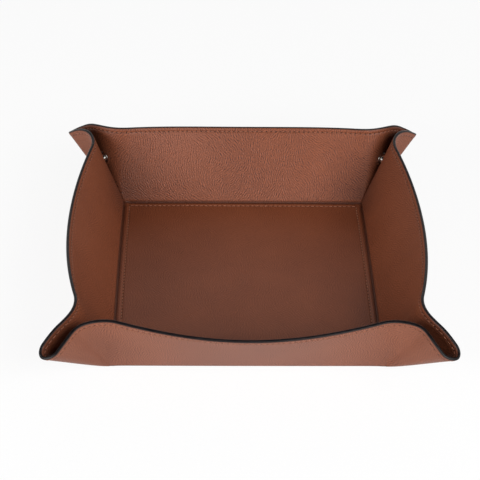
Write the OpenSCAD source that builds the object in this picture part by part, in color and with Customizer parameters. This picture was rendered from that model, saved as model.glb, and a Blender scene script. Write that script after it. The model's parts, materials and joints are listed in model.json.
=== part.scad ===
// Snap-corner trinket tray: a sheet of two bonded leathers, folded up on four
// sides and pinched at four corners, where press studs hold the folds shut.
// The tray stands on z = 0 with its middle at the origin, width along X.

/* [Base] */
// Width between the fold lines of the two side walls
base_w = 222; // [150:1:320]
// Depth between the fold lines of the front and back walls
base_d = 230; // [150:1:320]
// How far the base's board ends inside the fold lines, past the sewn line
base_inset = 8.5; // [7:0.5:14]

/* [Leather] */
// Thickness of the outer leather
skin_t = 1.3; // [1:0.05:1.6]
// Thickness of the grained lining leather
lining_t = 1.3; // [1:0.05:1.6]
// Thickness of the stiffener boards between the two leathers
board_t = 0.6; // [0.4:0.05:0.8]
// Height of the painted coat on the cut edge
edge_h = 0.6; // [0.4:0.05:1]

/* [Walls] */
// Height of a wall along its slope, from the fold line to the cut edge
wall_l = 70.5; // [60:0.5:85]
// How far the front and back walls lean out at their middle
end_reach = 40.5; // [36:0.5:46]
// How far the side walls lean out at their middle
side_reach = 39; // [36:0.5:46]

/* [Corner ears] */
// Outer radius of the rolled loop at the tip of an ear, at the top edge
loop_r = 7.8; // [7:0.1:9]
// Radius of the bend between a wall and its ear, at the top edge
bend_r = 35; // [28:0.5:40]
// Straight length of an ear between the bend and the loop, at the top edge
leg_l = 16.5; // [12:0.5:22]
// Height of the tip of an ear above the table
tip_h = 48; // [42:0.5:54]
// How late the top edge of an ear drops towards its tip, as a power
drop_power = 2.1; // [1.5:0.1:2.8]

/* [Press studs] */
// Diameter of the flanges and of the socket's rolled rim
stud_d = 11; // [9:0.25:12]
// Diameter of the knob of the stud
knob_d = 4; // [3.5:0.1:4.5]
// Play between the knob and the socket, on the radius
knob_play = 0.5; // [0.4:0.05:0.7]
// Thickness of a press stud's flanges
flange_t = 0.7; // [0.5:0.05:0.9]
// Diameter of the rivet head between the leathers
rivet_d = 7; // [6:0.25:8]
// Wire diameter of the ring spring in the socket
spring_d = 0.5; // [0.4:0.05:0.6]
// Play between a press stud's post and the leather
post_play = 0.1; // [0.05:0.05:0.2]

/* [Hidden] */
$fn = 40;

// Colours
skin_c = "#8a5f50";
lining_c = "#6b3d2c";
board_c = "#b8a285";
edge_c = "#24242a";
nickel_c = "#c9c9c4";

// Thickness of the two leathers together
sheet_t = skin_t + lining_t;
// Glue line between two layers, and between a board and its pocket
glue_gap = 0.04;
// Running gap along the folds that open
fold_gap = 0.3;
// Gap along the one seam of each corner that is left open
seam_gap = 0.9;
// Gap between the two halves of a loop along its tip line
tip_gap = 0.3;
// Turn of an ear on its wall when the tray lies flat
ear_turn = 33;
// Where an ear starts, as a share of the length of its rulings
ear_start_share = 0.12;
// Clearance round the flanges of the press studs
seat_play = 0.12;
// Overrun of a cut past the face that it opens
overrun = 1;
// Step along the edge over which the slope of a face is measured
step_share = 0.01;
step_s = step_share * loop_r;
// The least part of a step that keeps off the corner point
least_share = 0.01;
// The least slant to the middle plane that the thickness is measured with
slant_share = 0.21;

// Half lengths of the two kinds of wall, with how far each leans out
END = [base_w / 2, end_reach];
SIDE = [base_d / 2, side_reach];

// Plan of the top edge round a corner, in the frame of that corner: p runs
// along the wall and is zero at the corner, q runs outwards
root2 = sqrt(2);
pinch_q = root2 * loop_r + (root2 - 1) * bend_r;
rad = PI / 180;
bend_s = bend_r * 45 * rad;
leg_s = bend_s + leg_l;
ear_s = leg_s + loop_r * 90 * rad;
leg_end = [bend_r * sin(45), pinch_q + bend_r * (1 - cos(45))] + leg_l / root2 * [1, 1];
loop_mid = leg_end + loop_r / root2 * [1, -1];

function turn(wall) = 2 * atan((wall[1] - pinch_q) / wall[0]);
function bow_r(wall) = wall[0] / sin(turn(wall)) - bend_r;
function wall_s(wall) = (bow_r(wall) + bend_r) * turn(wall) * rad;

// Point of the wall's edge at s before the corner: a long bow, then the bend
function bow_at(s, wall) =
    let (a = turn(wall) + (s + bend_r * turn(wall) * rad) / bow_r(wall) / rad)
    s < -bend_r * turn(wall) * rad
        ? [-wall[0] + bow_r(wall) * sin(a), wall[1] - bow_r(wall) * (1 - cos(a))]
        : bend_at(s / bend_r / rad);
function bend_at(a) = [bend_r * sin(a), pinch_q + bend_r * (1 - cos(a))];

// Point of the ear's edge at s past the corner: bend, straight leg, loop.
// The loop ends half the tip gap short of the ear's middle plane.
function loop_at(a, u) =
    loop_mid + loop_r * sin(a) / root2 * [1, 1]
    + ((loop_r - tip_gap / 2 / u) * cos(a) + tip_gap / 2 / u) / root2 * [-1, 1];
function ear_at(s, u) =
    s < bend_s ? bend_at(s / bend_r / rad)
    : s < leg_s ? bend_at(45) + (s - bend_s) / root2 * [1, 1]
    : loop_at((s - leg_s) / loop_r / rad, u);

// Height of the edge: a wall's rulings have one length, an ear's edge eases
// down to its tip
function ease(t) = t * t * (3 - 2 * t);
corner_h = sqrt(wall_l * wall_l - pinch_q * pinch_q);
function ear_h(s) = corner_h - (corner_h - tip_h) * ease(pow(s / ear_s, drop_power));
function edge_at(s, wall, u = 1) =
    let (e = s > 0 ? ear_at(s, u) : bow_at(s, wall))
    [e[0], e[1], s > 0 ? ear_h(s) : sqrt(wall_l * wall_l - e[1] * e[1])];

// The outer face is ruled: square to the fold line on a wall, and out of the
// corner point on an ear
function face_at(s, u, wall) =
    let (e = edge_at(s, wall, u))
    s > 0 ? u * e : [e[0], u * e[1], u * e[2]];

// Unit normal of that face, pointing into the tray
function unit(v) = v / norm(v);
function inward(s, u, wall) =
    let (s0 = s > 0 ? max(s - step_s, least_share * step_s) : s - step_s)
    let (s1 = s > 0 ? min(s + step_s, ear_s) : min(s + step_s, 0))
    let (along = face_at(s1, u, wall) - face_at(s0, u, wall))
    let (up = s > 0 ? edge_at(s, wall) : edge_at(s, wall) - [edge_at(s, wall)[0], 0, 0])
    unit(cross(along, up));

// How thick the sheet can be there without crossing the corner's middle plane
function room(s, u, wall) =
    let (f = face_at(s, u, wall))
    s > 0 ? loop_r * u - tip_gap / 2
    : let (slant = inward(s, u, wall) * [1, -1, 0] / root2)
        ((f[1] - f[0]) / root2 - tip_gap / 2) / max(slant, slant_share);
function depth(s, u, wall, off) = off * min(1, room(s, u, wall) / sheet_t);
function sheet_at(s, u, wall, off) =
    own_side(face_at(s, u, wall) + inward(s, u, wall) * depth(s, u, wall, off));
// Inside the tight loop a point is kept half the tip gap off the middle plane
function own_side(p) =
    let (short = tip_gap / 2 - (p[1] - p[0]) / root2)
    p + max(short, 0) / root2 * [-1, 1, 0];

// A solid swept through rings of points: each ring is a loop that goes up one
// face of the sheet and comes back down the other
function tri(a, b, c, d) = [[a, b, c], [a, c, d]];
function skin_faces(rings, m) =
    [for (i = [0:rings - 2], j = [0:m - 1])
        let (a = i * m + j)
        let (b = a + m)
        let (c = (i + 1) * m + (j + 1) % m)
        let (d = c - m)
        each j < m / 2 ? tri(a, b, c, d) : tri(b, c, d, a)];
function cap_faces(first, m, flip) =
    [for (j = [0:m / 2 - 2])
        for (t = tri(first + j, first + m - 1 - j, first + m - 2 - j, first + j + 1))
            flip ? [t[2], t[1], t[0]] : t];
module swept(rings) {
    m = len(rings[0]);
    points = [for (ring = rings) each ring];
    faces = concat(skin_faces(len(rings), m), cap_faces(0, m, true),
                   cap_faces((len(rings) - 1) * m, m, false));
    polyhedron(points, faces, convexity = 8);
}

// Stations along half a wall, from its middle to the corner
bow_steps = 8;
turn_steps = 4;
function wall_stations(wall) =
    let (knee = bend_r * turn(wall) * rad + sheet_t)
    concat([for (i = [0:bow_steps]) -wall_s(wall) + (wall_s(wall) - knee) * i / bow_steps],
           [for (i = [1:turn_steps]) -knee + knee * i / turn_steps]);

// Start of a wall's layer above its fold line, mitred so that it clears the base
function lean_at(s, wall) = acos(edge_at(s, wall)[1] / wall_l);
function foot(s, wall, off) =
    (fold_gap / 2 + off * tan(lean_at(s, wall) / 2)) / wall_l;

// The full wall: the half with p < 0, and its mirror image before it
function wall_ring(s, wall, loop, side) =
    [for (v = loop)
        let (p = sheet_at(s, v[0] + foot(s, wall, v[1]) * (1 - v[0]), wall, v[1]))
        [side * (wall[0] + p[0]), p[1], p[2]]];
module wall_layer(wall, loop, half) {
    n = len(half);
    swept(concat(
        [for (i = [n - 1:-1:1]) wall_ring(half[i], wall, loop, -1)],
        [for (i = [0:n - 1]) wall_ring(half[i], wall, loop, 1)]));
}

// Loops, as shares of the ruling and depths below the outer face
board_from_share = 0.05;
board_mid_share = 0.45;
board_to_share = 0.88;
function loop_of(shares, off0, off1) =
    let (n = len(shares))
    concat([for (u = shares) [u, off0]], [for (i = [n - 1:-1:0]) [shares[i], off1]]);
function layer_loop(off0, off1) =
    loop_of([0, board_from_share, board_mid_share, board_to_share, 1], off0, off1);
crown_share = 0.28;
function edge_loop(l) =
    let (low = 1 + glue_gap / l)
    let (high = 1 + edge_h / l)
    [[low, 0], [1 + edge_h / 2 / l, 0], [high, sheet_t * crown_share],
     [high, sheet_t * (1 - crown_share)], [1 + edge_h / 2 / l, sheet_t], [low, sheet_t]];

// Boards lie in pockets of the lining, inside the line of stitching, and end
// where the wall starts to bend towards its ears
module wall_board_shape(wall, play, lift = 0) {
    more = play / wall_l;
    loop = loop_of([board_from_share - more, board_mid_share, board_to_share + more],
                   skin_t - lift, skin_t + board_t + play);
    bow = [for (i = [0:bow_steps]) wall_stations(wall)[i] + (i == bow_steps ? play : 0)];
    wall_layer(wall, loop, bow);
}

module wall_skin(wall) {
    color(skin_c) wall_layer(wall, layer_loop(0, skin_t - glue_gap), wall_stations(wall));
}
module wall_board(wall) {
    color(board_c) wall_board_shape(wall, 0);
}
module wall_lining(wall) {
    color(lining_c) difference() {
        wall_layer(wall, layer_loop(skin_t, sheet_t), wall_stations(wall));
        wall_board_shape(wall, glue_gap, skin_t / 2);
    }
}
module wall_edge(wall) {
    color(edge_c) wall_layer(wall, edge_loop(wall_l), wall_stations(wall));
}

// Ears: the first ring is cut back as a wedge, so that the bend can open
bend_steps = 5;
leg_steps = 2;
loop_steps = 6;
ear_stations = concat(
    [for (i = [0:bend_steps]) bend_s * i / bend_steps],
    [for (i = [1:leg_steps]) bend_s + leg_l * i / leg_steps],
    [for (i = [1:loop_steps]) leg_s + (ear_s - leg_s) * i / loop_steps]);
function ear_first(u, off, gap) =
    (gap + max(depth(step_s, u, END, off) - sheet_t * u, 0) * tan(ear_turn)) / u;
function ear_ring(i, loop, gap) =
    [for (v = loop)
        let (first = ear_first(min(v[0], 1), v[1], gap))
        let (s = first + ear_stations[i] * (1 - first / ear_s))
        sheet_at(s, v[0], END, v[1])];
module ear_layer(loop, gap) {
    swept([for (i = [0:len(ear_stations) - 1]) ear_ring(i, loop, gap)]);
}
full_share = 0.36;
function ear_loop(off0, off1) = loop_of([ear_start_share, full_share, 1], off0, off1);

// Press studs sit where the bend ends, their axis square to the middle plane
stud_share = 0.6;
stud_out = stud_share * (bend_at(45) * [1, 1]) / root2;
stud_up = stud_share * ear_h(bend_s);
// Distances from the middle plane to the faces that carry them
outer_b = stud_share * loop_r;
seat_b = outer_b - sheet_t;
middle_b = outer_b - skin_t;
// Where the socket's rim ends, short of the stud's flange
rim_b = seat_b - flange_t - knob_play;
hole_d = knob_d + 2 * knob_play;
post_share = 0.6;
post_d = post_share * knob_d;
module on_pinch() {
    translate([stud_out / root2, stud_out / root2, stud_up])
        rotate([0, 0, 135]) rotate([0, 90, 0]) children();
}
// Pocket of one press stud half, cut from the layer that carries it
module stud_seat() {
    on_pinch() {
        translate([0, 0, -overrun])
            cylinder(d = stud_d + 2 * seat_play, h = seat_b + overrun + seat_play);
        cylinder(d = post_d + 2 * post_play, h = middle_b + flange_t);
        translate([0, 0, middle_b - seat_play])
            cylinder(d = rivet_d + 2 * seat_play, h = flange_t / 2 + 2 * seat_play);
    }
}
module ear_skin(gap) {
    color(skin_c) difference() {
        ear_layer(ear_loop(0, skin_t - glue_gap), gap);
        stud_seat();
    }
}
module ear_lining(gap) {
    color(lining_c) difference() {
        ear_layer(ear_loop(skin_t, sheet_t), gap);
        stud_seat();
    }
}
module ear_edge(gap) {
    color(edge_c) ear_layer(edge_loop(norm(edge_at(0, END))), gap);
}

// The stud: flange, post through the lining and a waisted knob. The knob's
// profile is given as shares of its diameter and of its height.
knob_shares = [[0.36, 1], [0.5, 0.8], [0.5, 0.62], [0.42, 0.4], [0.46, 0]];
module stud_shape() {
    foot_b = seat_b - flange_t;
    knob_h = seat_b + rim_b;
    on_pinch() color(nickel_c) rotate_extrude() polygon(concat(
        [[0, foot_b - knob_h]],
        [for (v = knob_shares) [knob_d * v[0], foot_b - knob_h * v[1]]],
        [[stud_d / 2 - flange_t / 2, foot_b], [stud_d / 2, foot_b + flange_t / 2],
         [stud_d / 2, seat_b], [post_d / 2, seat_b], [post_d / 2, middle_b], [0, middle_b]]));
}
// The rivet head that holds a stud or socket from between the leathers
module rivet_shape() {
    on_pinch() color(nickel_c)
        translate([0, 0, middle_b]) cylinder(d = rivet_d, h = flange_t / 2);
}
// The socket: flange, drum and rolled rim, with the ring spring inside. The
// spring's play and its ring's place are shares of the wire.
spring_room_share = 1.4;
spring_at_share = 0.8;
module socket_shape() {
    rim_r = stud_d / 2;
    drum_r = rim_r - flange_t;
    front_b = -rim_b;
    lip_b = front_b + flange_t / 2;
    back_b = seat_b - flange_t;
    room_r = hole_d / 2 + spring_d * spring_room_share;
    on_pinch() color(nickel_c) rotate_extrude() polygon([
        [hole_d / 2, front_b], [rim_r - flange_t / 2, front_b], [rim_r, lip_b],
        [rim_r - flange_t / 2, front_b + flange_t], [drum_r, front_b + flange_t],
        [drum_r, back_b], [rim_r, back_b], [rim_r, seat_b],
        [post_d / 2, seat_b], [post_d / 2, middle_b], [0, middle_b],
        [0, seat_b - flange_t / 2], [room_r, seat_b - flange_t / 2],
        [room_r, lip_b], [hole_d / 2, lip_b]]);
    on_pinch() color(nickel_c) translate([0, 0, lip_b + spring_d]) rotate_extrude()
        translate([hole_d / 2 + spring_d * spring_at_share, 0]) circle(d = spring_d);
}

// Base panel: the skin below, a board, and the lining over it, mitred all round
mitre = tan(acos(pinch_q / wall_l) / 2);
module base_slab(z0, z1) {
    g0 = fold_gap / 2 + z0 * mitre;
    g1 = fold_gap / 2 + z1 * mitre;
    w = base_w / 2;
    d = base_d / 2;
    swept([
        [[-w + g0, -d + g0, z0], [-w + g0, d - g0, z0], [-w + g1, d - g1, z1], [-w + g1, -d + g1, z1]],
        [[w - g0, -d + g0, z0], [w - g0, d - g0, z0], [w - g1, d - g1, z1], [w - g1, -d + g1, z1]]]);
}
module base_board_shape(play) {
    w = base_w - 2 * base_inset + 2 * play;
    d = base_d - 2 * base_inset + 2 * play;
    translate([-w / 2, -d / 2, skin_t]) cube([w, d, board_t + play]);
}
module base_skin() {
    color(skin_c) base_slab(0, skin_t - glue_gap);
}
module base_board() {
    color(board_c) base_board_shape(0);
}
module base_lining() {
    color(lining_c) difference() {
        base_slab(skin_t, sheet_t);
        base_board_shape(glue_gap);
    }
}

// Places of walls and corners
module at_back() {
    translate([0, base_d / 2, 0]) children();
}
module at_front() {
    mirror([0, 1, 0]) at_back() children();
}
module at_right() {
    rotate([0, 0, -90]) translate([0, base_w / 2, 0]) children();
}
module at_left() {
    mirror([1, 0, 0]) at_right() children();
}
module at_corner(x, y) {
    mirror([x < 0 ? 1 : 0, 0, 0]) mirror([0, y < 0 ? 1 : 0, 0])
        translate([base_w / 2, base_d / 2, 0]) children();
}
module side_half() {
    mirror([1, -1, 0]) children();
}

base_skin();
base_board();
base_lining();
at_front() wall_skin(END);  // front_skin
at_front() wall_board(END);  // front_board
at_front() wall_lining(END);  // front_lining
at_front() wall_edge(END);  // front_edge
at_back() wall_skin(END);  // back_skin
at_back() wall_board(END);  // back_board
at_back() wall_lining(END);  // back_lining
at_back() wall_edge(END);  // back_edge
at_left() wall_skin(SIDE);  // left_skin
at_left() wall_board(SIDE);  // left_board
at_left() wall_lining(SIDE);  // left_lining
at_left() wall_edge(SIDE);  // left_edge
at_right() wall_skin(SIDE);  // right_skin
at_right() wall_board(SIDE);  // right_board
at_right() wall_lining(SIDE);  // right_lining
at_right() wall_edge(SIDE);  // right_edge
at_corner(-1, -1) ear_skin(fold_gap);  // ear_fl_front_skin
at_corner(-1, -1) ear_lining(fold_gap);  // ear_fl_front_lining
at_corner(-1, -1) ear_edge(fold_gap);  // ear_fl_front_edge
at_corner(-1, -1) side_half() ear_skin(seam_gap);  // ear_fl_side_skin
at_corner(-1, -1) side_half() ear_lining(seam_gap);  // ear_fl_side_lining
at_corner(-1, -1) side_half() ear_edge(seam_gap);  // ear_fl_side_edge
at_corner(1, -1) ear_skin(fold_gap);  // ear_fr_front_skin
at_corner(1, -1) ear_lining(fold_gap);  // ear_fr_front_lining
at_corner(1, -1) ear_edge(fold_gap);  // ear_fr_front_edge
at_corner(1, -1) side_half() ear_skin(seam_gap);  // ear_fr_side_skin
at_corner(1, -1) side_half() ear_lining(seam_gap);  // ear_fr_side_lining
at_corner(1, -1) side_half() ear_edge(seam_gap);  // ear_fr_side_edge
at_corner(-1, 1) ear_skin(fold_gap);  // ear_bl_back_skin
at_corner(-1, 1) ear_lining(fold_gap);  // ear_bl_back_lining
at_corner(-1, 1) ear_edge(fold_gap);  // ear_bl_back_edge
at_corner(-1, 1) side_half() ear_skin(seam_gap);  // ear_bl_side_skin
at_corner(-1, 1) side_half() ear_lining(seam_gap);  // ear_bl_side_lining
at_corner(-1, 1) side_half() ear_edge(seam_gap);  // ear_bl_side_edge
at_corner(1, 1) ear_skin(fold_gap);  // ear_br_back_skin
at_corner(1, 1) ear_lining(fold_gap);  // ear_br_back_lining
at_corner(1, 1) ear_edge(fold_gap);  // ear_br_back_edge
at_corner(1, 1) side_half() ear_skin(seam_gap);  // ear_br_side_skin
at_corner(1, 1) side_half() ear_lining(seam_gap);  // ear_br_side_lining
at_corner(1, 1) side_half() ear_edge(seam_gap);  // ear_br_side_edge
at_corner(-1, -1) stud_shape();  // stud_fl
at_corner(-1, -1) rivet_shape();  // stud_rivet_fl
at_corner(-1, -1) side_half() socket_shape();  // socket_fl
at_corner(-1, -1) side_half() rivet_shape();  // socket_rivet_fl
at_corner(1, -1) stud_shape();  // stud_fr
at_corner(1, -1) rivet_shape();  // stud_rivet_fr
at_corner(1, -1) side_half() socket_shape();  // socket_fr
at_corner(1, -1) side_half() rivet_shape();  // socket_rivet_fr
at_corner(-1, 1) stud_shape();  // stud_bl
at_corner(-1, 1) rivet_shape();  // stud_rivet_bl
at_corner(-1, 1) side_half() socket_shape();  // socket_bl
at_corner(-1, 1) side_half() rivet_shape();  // socket_rivet_bl
at_corner(1, 1) stud_shape();  // stud_br
at_corner(1, 1) rivet_shape();  // stud_rivet_br
at_corner(1, 1) side_half() socket_shape();  // socket_br
at_corner(1, 1) side_half() rivet_shape();  // socket_rivet_br
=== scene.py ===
import json
import math
from collections import namedtuple

import bmesh
import bpy
import numpy as np
from mathutils import Matrix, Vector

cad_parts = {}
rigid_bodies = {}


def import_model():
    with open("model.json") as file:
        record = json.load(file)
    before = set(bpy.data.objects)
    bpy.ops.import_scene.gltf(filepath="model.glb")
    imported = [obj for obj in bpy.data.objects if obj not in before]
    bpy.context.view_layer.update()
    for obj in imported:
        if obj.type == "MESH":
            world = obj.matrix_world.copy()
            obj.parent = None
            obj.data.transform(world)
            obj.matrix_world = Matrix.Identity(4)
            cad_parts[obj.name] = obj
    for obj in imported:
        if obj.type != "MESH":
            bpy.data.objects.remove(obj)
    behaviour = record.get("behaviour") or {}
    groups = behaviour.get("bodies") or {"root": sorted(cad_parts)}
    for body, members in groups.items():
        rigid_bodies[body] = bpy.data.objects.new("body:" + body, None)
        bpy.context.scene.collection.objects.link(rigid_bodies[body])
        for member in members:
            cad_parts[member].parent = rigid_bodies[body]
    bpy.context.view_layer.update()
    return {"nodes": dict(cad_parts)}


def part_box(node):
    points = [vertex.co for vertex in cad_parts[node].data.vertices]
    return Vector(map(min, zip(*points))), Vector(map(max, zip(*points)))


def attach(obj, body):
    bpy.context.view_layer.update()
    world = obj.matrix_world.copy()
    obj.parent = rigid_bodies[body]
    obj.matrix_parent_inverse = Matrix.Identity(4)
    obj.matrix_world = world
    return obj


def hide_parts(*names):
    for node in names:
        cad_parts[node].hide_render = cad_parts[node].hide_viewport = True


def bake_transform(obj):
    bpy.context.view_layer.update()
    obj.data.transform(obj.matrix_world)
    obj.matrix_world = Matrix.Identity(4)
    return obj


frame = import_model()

MM = 0.001

# The frame's driving dimensions
FOLD_GAP = 0.3
base_low, base_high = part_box("base_skin")
BASE_W = (base_high.x - base_low.x) / MM + FOLD_GAP
BASE_D = (base_high.y - base_low.y) / MM + FOLD_GAP
WALL_L = 70.5
END_REACH = 40.5
SIDE_REACH = 39.0
LOOP_R = 7.8
BEND_R = 35.0
LEG_L = 16.5
TIP_H = 48.0
DROP_POWER = 2.1
SKIN_T = 1.3
LINING_T = 1.3
SHEET_T = SKIN_T + LINING_T
BOARD_T = 0.6
EDGE_H = 0.6
BOARD_FROM = 0.05
BOARD_TO = 0.88

# Sewing: the pitch, and how far the lines lie in from the edge and from the fold
STITCH_PITCH = 4.3
STITCH_IN = 4.0
BASE_STITCH_IN = 5.5
STATIONS_PER_STITCH = 4

# Folds: how round they are along a wall and at its ends, and over what length that changes
FOLD_R = 2.4
OUTER_FOLD_SHARE = 0.45
CORNER_FOLD_R = 0.5
FOLD_RUN = 16.0
# Thickness at the pinch: play to the ear's other half, and how steep and how thin the sheet may get
LINING_CLEAR = 0.1
LEAST_SLANT = 0.2
THINNEST = 0.02
# Step over which slopes are taken, and how near the corner point they start
NORMAL_STEP = 0.05
OFF_CORNER = 0.0005
OFF_CORNER_SHARE = 0.001
# The painted bead: how far it laps the leathers, and how far it stays in from their faces
PAINT_LIP = 0.3
PAINT_SHY = 0.13

# Swell of the pinched crease: its height, where it is highest, and where on the ear it starts
SAG = 1.0
SAG_AT = 0.36
SAG_FROM = 0.35
# How far the front ears gape round their press stud, by wall and end, and where that starts and fades
GAPES = {("front", -1): 2.4, ("front", 1): 3.2}
GAPE_START = 18.0
GAPE_FULL = 38.0
GAPE_FADE = 42.0

# Plan of the top edge round a corner: a bend off the wall, a straight leg, and half of the ear's loop
ROOT2 = math.sqrt(2)
BEND_TURN = math.radians(45)
LOOP_TURN = math.radians(90)
PINCH_Q = ROOT2 * LOOP_R + (ROOT2 - 1) * BEND_R
BEND_S = BEND_R * BEND_TURN
LEG_S = BEND_S + LEG_L
EAR_S = LEG_S + LOOP_R * LOOP_TURN
EAR_STITCHES = round(EAR_S / STITCH_PITCH)
EAR_PITCH = EAR_S / EAR_STITCHES
OUT = np.array([1, 1]) / ROOT2
ACROSS = np.array([1, -1]) / ROOT2
APART = np.array([-1, 1, 0]) / ROOT2
CORNER_H = math.sqrt(WALL_L ** 2 - PINCH_Q ** 2)
TIP_OUT = (PINCH_Q + BEND_R) / ROOT2 + LEG_L + LOOP_R

Wall = namedtuple("Wall", "name half depth reach turn bow_r length")


def make_wall(name, half, depth, reach):
    """One wall, from half its fold line, that line's distance from the middle, and its edge's lean."""
    turn = 2 * math.atan((reach - PINCH_Q) / half)
    bow_r = half / math.sin(turn) - BEND_R
    return Wall(name, half, depth, reach, turn, bow_r, (bow_r + BEND_R) * turn)


WALLS = {
    "front": make_wall("front", BASE_W / 2, BASE_D / 2, END_REACH),
    "back": make_wall("back", BASE_W / 2, BASE_D / 2, END_REACH),
    "left": make_wall("left", BASE_D / 2, BASE_W / 2, SIDE_REACH),
    "right": make_wall("right", BASE_D / 2, BASE_W / 2, SIDE_REACH),
}
SIDE_WALLS = ("left", "right")
# Where each wall's own x and outward direction point in the frame
PLACES = {
    "back": np.array([[1, 0, 0], [0, 1, 0], [0, 0, 1]]),
    "front": np.array([[1, 0, 0], [0, -1, 0], [0, 0, 1]]),
    "right": np.array([[0, 1, 0], [-1, 0, 0], [0, 0, 1]]),
    "left": np.array([[0, -1, 0], [-1, 0, 0], [0, 0, 1]]),
}
# The end wall and the side wall of each corner, with the end of each that meets it
CORNERS = {
    "fl": (("front", -1), ("left", 1)),
    "fr": (("front", 1), ("right", 1)),
    "bl": (("back", -1), ("left", -1)),
    "br": (("back", 1), ("right", -1)),
}


# Shape of the sheet

def bend_point(angle):
    """Plan of the bend between a wall and its ear, an angle past the corner."""
    return np.stack([BEND_R * np.sin(angle), PINCH_Q + BEND_R * (1 - np.cos(angle))], -1)


LEG_END = bend_point(BEND_TURN) + LEG_L * OUT
LOOP_MID = LEG_END + LOOP_R * ACROSS


def ease(t):
    """0 to 1 as t goes from 0 to 1, level at both ends."""
    t = np.clip(t, 0, 1)
    return t * t * (3 - 2 * t)


def edge_plan(s, wall):
    """Plan of the cut edge, s past the corner along it; s is negative on the wall itself."""
    s = s[..., None]
    past_knee = s + BEND_R * wall.turn
    bow_angle = wall.turn + past_knee / wall.bow_r
    bow = np.concatenate([-wall.half + wall.bow_r * np.sin(bow_angle),
                          wall.reach - wall.bow_r * (1 - np.cos(bow_angle))], -1)
    bend = bend_point(s[..., 0] / BEND_R)
    leg = bend_point(BEND_TURN) + (s - BEND_S) * OUT
    loop_angle = (s - LEG_S) / LOOP_R
    loop = LOOP_MID + LOOP_R * (np.sin(loop_angle) * OUT - np.cos(loop_angle) * ACROSS)
    return np.where(past_knee < 0, bow, np.where(s < BEND_S, bend, np.where(s < LEG_S, leg, loop)))


def edge_point(s, wall):
    """The cut edge of the outer face: along and out from the corner, and up."""
    plan = edge_plan(s, wall)
    wall_z = np.sqrt(WALL_L ** 2 - np.minimum(plan[..., 1], WALL_L) ** 2)
    drop = (CORNER_H - TIP_H) * ease((np.clip(s, 0, EAR_S) / EAR_S) ** DROP_POWER)
    return np.concatenate([plan, np.where(s > 0, CORNER_H - drop, wall_z)[..., None]], -1)


def ruling_length(s, wall):
    """Length of the ruling from the fold line, or from the corner point, to the edge."""
    return np.where(s > 0, np.linalg.norm(edge_point(s, wall), axis=-1), WALL_L)


def face_point(s, u, wall):
    """The outer face: rulings square to the fold on a wall, out of the corner point on an ear."""
    e = edge_point(s, wall)
    u = u[..., None]
    return np.where(s[..., None] > 0, u * e, np.concatenate([e[..., :1], u * e[..., 1:]], -1))


def face_normal(s, u, wall):
    """Unit normal of the outer face that points into the tray."""
    low = np.where(s > 0, np.maximum(s - NORMAL_STEP, OFF_CORNER), s - NORMAL_STEP)
    high = np.where(s > 0, s + NORMAL_STEP, np.minimum(s + NORMAL_STEP, 0))
    along = face_point(np.minimum(high, EAR_S), u, wall) - face_point(low, u, wall)
    tip = (s > EAR_S - NORMAL_STEP)[..., None]
    along = np.where(tip, np.array([1, -1, 0]), along)
    e = edge_point(s, wall)
    up = np.where(s[..., None] > 0, e, e * np.array([0, 1, 1]))
    normal = np.cross(along, up)
    return normal / np.linalg.norm(normal, axis=-1, keepdims=True)


def sag(s, u):
    """How an ear's pinched crease swells down and out near the corner: leather can't fold sharply."""
    amount = SAG * (u / SAG_AT) * np.exp(1 - u / SAG_AT) * ease((s / EAR_S - SAG_FROM) / (1 - SAG_FROM))
    rise = TIP_H / math.hypot(TIP_H, TIP_OUT)
    away = TIP_OUT / math.hypot(TIP_H, TIP_OUT)
    return amount[..., None] * np.array([rise * OUT[0], rise * OUT[1], -away])


def room(s, u, point, normal):
    """How thick the sheet can be there before it meets the other half of the ear."""
    side_gap = (point[..., 1] - point[..., 0]) / ROOT2 - LINING_CLEAR
    slant = np.maximum((normal[..., 0] - normal[..., 1]) / ROOT2, LEAST_SLANT)
    return np.where(s > LEG_S, LOOP_R * u - LINING_CLEAR, side_gap / slant)


def gape(c, s, u, wall):
    """How far an ear half stands off from the other, past the press stud."""
    most = np.where(c < 0, GAPES.get((wall.name, -1), 0), GAPES.get((wall.name, 1), 0))
    fade = 1 - ease((s - GAPE_FADE) / (EAR_S - GAPE_FADE))
    amount = most * u * ease((s - GAPE_START) / (GAPE_FULL - GAPE_START)) * fade
    return amount[..., None] * APART


def sheet_point(c, s, r, wall, off):
    """A point r up its ruling, with the normal there and the share of its thickness the sheet keeps."""
    u = r / ruling_length(s, wall)
    point = face_point(s, u, wall)
    normal = face_normal(s, np.maximum(u, OFF_CORNER_SHARE), wall)
    thin = np.clip(room(s, u, point, normal) / SHEET_T, THINNEST, 1)
    point = point + normal * (off * thin)[..., None]
    short = np.maximum(-(point[..., 1] - point[..., 0]) / ROOT2, 0)[..., None]
    point = point + short * APART + sag(np.maximum(s, 0), u) + gape(c, s, u, wall)
    return point, normal, thin


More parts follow.
